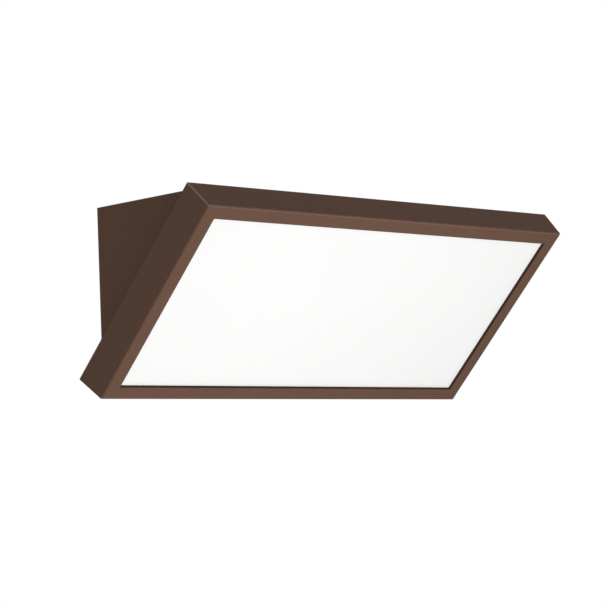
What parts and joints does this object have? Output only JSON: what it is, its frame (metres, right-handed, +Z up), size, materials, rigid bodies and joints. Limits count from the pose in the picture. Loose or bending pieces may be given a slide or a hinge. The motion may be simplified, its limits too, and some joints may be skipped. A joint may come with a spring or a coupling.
{
  "type": "outdoor wall light",
  "caption": "Wedge-shaped outdoor wall light with a long leaning panel, an opal diffuser in a brown frame, a hollow body with its driver, and a wall bracket.",
  "frame": {"origin": "midway between the two wall slots, on the wall plane", "axes": "+Y into the wall, so the lamp stands out towards -Y; +X along the lamp; +Z up"},
  "size_m": [0.2852, 0.1164, 0.1075],
  "materials": {
    "powder_coat": "brown powder coat, finely textured",
    "opal": "opal, satin",
    "grey_silicone": "matte",
    "white_plastic": "glossy white",
    "board_white": "white solder mask",
    "phosphor": "yellow phosphor",
    "screw_steel": "stainless",
    "aluminium": "milled",
    "zinc_steel": "galvanised",
    "driver_plastic": "light grey, matte",
    "green_board": "green solder mask",
    "brown_lead": "brown insulation",
    "blue_lead": "blue insulation",
    "earth_lead": "green and yellow insulation",
    "red_lead": "red insulation",
    "black_lead": "black insulation",
    "black_rubber": "matte",
    "black_foam": "closed-cell foam",
    "black_nylon": "moulded, satin",
    "terminal_grey": "moulded, satin",
    "lever_orange": "moulded",
    "contact_copper": "tinned copper alloy",
    "earth_brass": "plain brass"
  },
  "bodies": {
    "bracket": {"wall_bracket": "zinc_steel", "cable_bush": "black_rubber"},
    "head": {"front_frame": "powder_coat", "diffuser": "opal", "lens_gasket": "grey_silicone", "reflector": "white_plastic", "led_board": "board_white", "leds": "phosphor", "board_connector": "white_plastic", "board_screws": "screw_steel", "heat_plate": "aluminium", "plate_screws": "screw_steel", "rear_housing": "powder_coat", "frame_screws": "screw_steel", "driver_case": "driver_plastic", "driver_board": "green_board", "driver_cover": "driver_plastic", "driver_screws": "screw_steel", "lead_live": "brown_lead", "lead_neutral": "blue_lead", "lead_earth": "earth_lead", "lead_led_plus": "red_lead", "lead_led_minus": "black_lead", "lead_grommet": "black_rubber", "vent_plug": "black_nylon", "mounting_base": "powder_coat", "base_screws": "screw_steel", "wall_gasket": "black_foam", "terminal_block": "terminal_grey", "terminal_contacts": "contact_copper", "earth_screw": "earth_brass", "earth_tag": "earth_brass", "gland_body": "black_nylon", "gland_seal": "grey_silicone", "gland_locknut": "black_nylon"},
    "gland_nut": {"gland_nut": "black_nylon"},
    "retaining_screw_left": {"retaining_screw_left": "screw_steel"},
    "retaining_screw_right": {"retaining_screw_right": "screw_steel"},
    "lever_live": {"lever_live": "lever_orange"},
    "lever_neutral": {"lever_neutral": "lever_orange"},
    "lever_earth": {"lever_earth": "lever_orange"}
  },
  "joints": [
    {"name": "head_slide", "type": "slide", "parent": "bracket", "child": "head", "axis": [0, -1, 0], "range_m": [0, 0.04]},
    {"name": "retaining_screw_left_turn", "type": "hinge", "parent": "head", "child": "retaining_screw_left", "pos_m": [-0.063, -0.007, -0.0262], "axis": [0, 0, 1], "continuous": true},
    {"name": "retaining_screw_right_turn", "type": "hinge", "parent": "head", "child": "retaining_screw_right", "pos_m": [0.063, -0.007, -0.0262], "axis": [0, 0, 1], "continuous": true},
    {"name": "gland_nut_turn", "type": "hinge", "parent": "head", "child": "gland_nut", "pos_m": [0.1045, -0.013, 0], "axis": [1, 0, 0], "continuous": true},
    {"name": "lever_live_pivot", "type": "hinge", "parent": "head", "child": "lever_live", "pos_m": [-0.0484, -0.0148, 0.001], "axis": [1, 0, 0], "range_deg": [0, 88]},
    {"name": "lever_neutral_pivot", "type": "hinge", "parent": "head", "child": "lever_neutral", "pos_m": [-0.042, -0.0148, 0.001], "axis": [1, 0, 0], "range_deg": [0, 88]},
    {"name": "lever_earth_pivot", "type": "hinge", "parent": "head", "child": "lever_earth", "pos_m": [-0.0356, -0.0148, 0.001], "axis": [1, 0, 0], "range_deg": [0, 88]}
  ]
}
